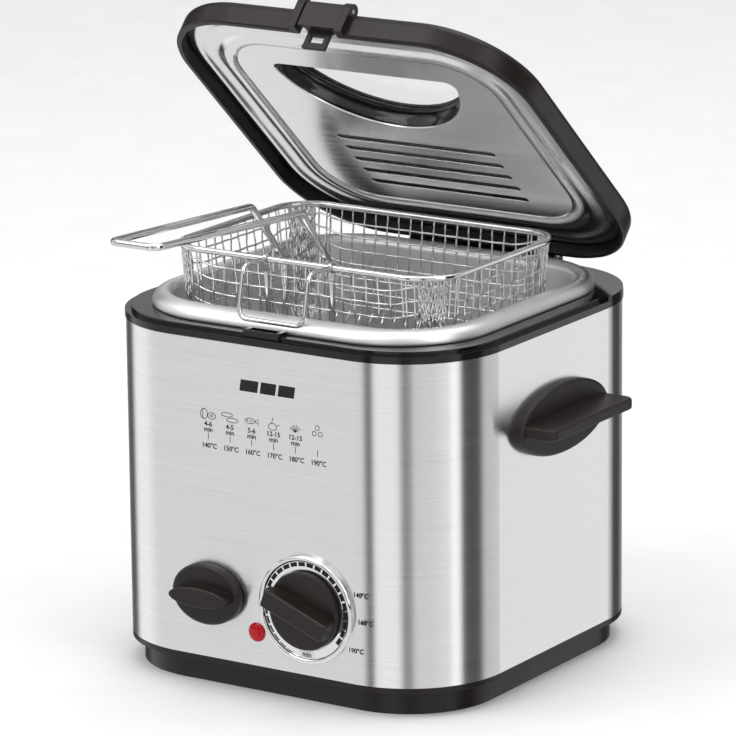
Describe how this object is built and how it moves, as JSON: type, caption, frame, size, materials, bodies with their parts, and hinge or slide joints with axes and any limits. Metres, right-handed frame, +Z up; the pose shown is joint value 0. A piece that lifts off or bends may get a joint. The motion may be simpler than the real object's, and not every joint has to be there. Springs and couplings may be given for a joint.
{
  "type": "deep fryer",
  "caption": "Small square household deep fryer in brushed steel with a hinged windowed lid, wire frying basket, removable basket handle, thermostat dial and switch.",
  "frame": {"origin": "on the floor under the middle of the housing", "axes": "+Z up, front of the fryer with its controls towards -Y, +X to the right seen from the front"},
  "size_m": [0.253, 0.3178, 0.3384],
  "materials": {
    "brushed_shell": "vertical-grain brushed stainless steel",
    "pan_steel": "satin stamped steel",
    "sheet_steel": "plain zinc-coated sheet",
    "black_plastic": "fine-textured black plastic",
    "gloss_black": "polished black plastic",
    "pot_alloy": "satin pressed aluminium",
    "chrome_wire": "bright chromed wire",
    "chrome_ring": "polished chrome",
    "screw_steel": "zinc-plated steel",
    "rubber": "soft black rubber",
    "heater": "heat-tinted steel tube",
    "ceramic": "off-white heat-proof plastic",
    "copper": "copper capillary and bulb",
    "red_lens": "clear red plastic",
    "lamp_white": "white plastic",
    "glass": "clear tempered glass",
    "gasket": "black silicone",
    "filter": "black mesh filter"
  },
  "bodies": {
    "housing": {"base_tray": "black_plastic", "bottom_plate": "sheet_steel", "rubber_feet": "rubber", "base_screws": "screw_steel", "shell_wrap": "brushed_shell", "top_frame": "gloss_black", "front_catch_block": "gloss_black", "side_handle_right": "black_plastic", "side_handle_left": "black_plastic", "side_handle_screws": "screw_steel", "cord_gland": "black_plastic", "inner_pot": "pot_alloy", "heating_element": "heater", "element_clamp_plate": "sheet_steel", "clamp_nuts": "screw_steel", "thermal_cutout": "ceramic", "thermostat_bulb": "copper", "control_bracket": "sheet_steel", "thermostat_body": "sheet_steel", "switch_body": "ceramic", "dial_ring": "chrome_ring", "indicator_lens": "red_lens", "lamp_holder": "lamp_white", "terminal_block": "ceramic", "hinge_bracket": "black_plastic", "hinge_pin": "screw_steel", "hinge_spring": "screw_steel"},
    "lid": {"lid_frame": "black_plastic", "lid_outer_panel": "brushed_shell", "lid_inner_panel": "pan_steel", "window_gasket": "gasket", "window_glass": "glass", "vent_filter": "filter", "filter_housing": "black_plastic", "latch_pin": "screw_steel"},
    "latch": {"latch_lever": "black_plastic"},
    "basket": {"basket_rim": "chrome_wire", "basket_front_mesh": "chrome_wire", "basket_rear_mesh": "chrome_wire", "basket_left_mesh": "chrome_wire", "basket_right_mesh": "chrome_wire", "basket_corner_pleats": "chrome_wire", "basket_floor_mesh": "chrome_wire", "hook_brackets": "chrome_wire", "handle_eyelets": "chrome_wire"},
    "hook": {"drain_hook": "chrome_wire"},
    "handle": {"basket_handle": "chrome_wire"},
    "thermostat_dial": {"thermostat_knob": "black_plastic", "thermostat_shaft": "screw_steel"},
    "switch_dial": {"switch_knob": "black_plastic", "switch_shaft": "screw_steel"}
  },
  "joints": [
    {"name": "lid_hinge", "type": "hinge", "parent": "housing", "child": "lid", "pos_m": [0, 0.1054, 0.188], "axis": [1, 0, 0], "range_deg": [0, 42.33], "stiffness_Nm_per_rad": 0.3, "springref_deg": -171.89},
    {"name": "lid_latch", "type": "hinge", "parent": "lid", "child": "latch", "pos_m": [0, -0.04075, 0.33465], "axis": [1, 0, 0], "range_deg": [-4, 0], "stiffness_Nm_per_rad": 0.05, "springref_deg": 17.19},
    {"name": "basket_lower", "type": "slide", "parent": "housing", "child": "basket", "axis": [0, 0, -1], "range_m": [0, 0.062]},
    {"name": "drain_hook_fold", "type": "hinge", "parent": "basket", "child": "hook", "pos_m": [0, -0.068, 0.2125], "axis": [1, 0, 0], "range_deg": [-150, 0]},
    {"name": "handle_stow", "type": "hinge", "parent": "basket", "child": "handle", "pos_m": [0.055, -0.0775, 0.2125], "axis": [0, 0, 1], "range_deg": [-90, 0]},
    {"name": "thermostat_turn", "type": "hinge", "parent": "housing", "child": "thermostat_dial", "pos_m": [0.0265, -0.104, 0.049], "axis": [0, -1, 0], "range_deg": [-190, 105]},
    {"name": "switch_turn", "type": "hinge", "parent": "housing", "child": "switch_dial", "pos_m": [-0.0315, -0.104, 0.0485], "axis": [0, -1, 0], "range_deg": [-90, 0]}
  ],
  "couplings": [
    {"joint": "basket_lower", "follows": "lid_hinge", "m_per_rad": 0.083919},
    {"joint": "drain_hook_fold", "follows": "lid_hinge", "ratio": -3.5436},
    {"joint": "handle_stow", "follows": "lid_hinge", "ratio": -2.1261}
  ]
}
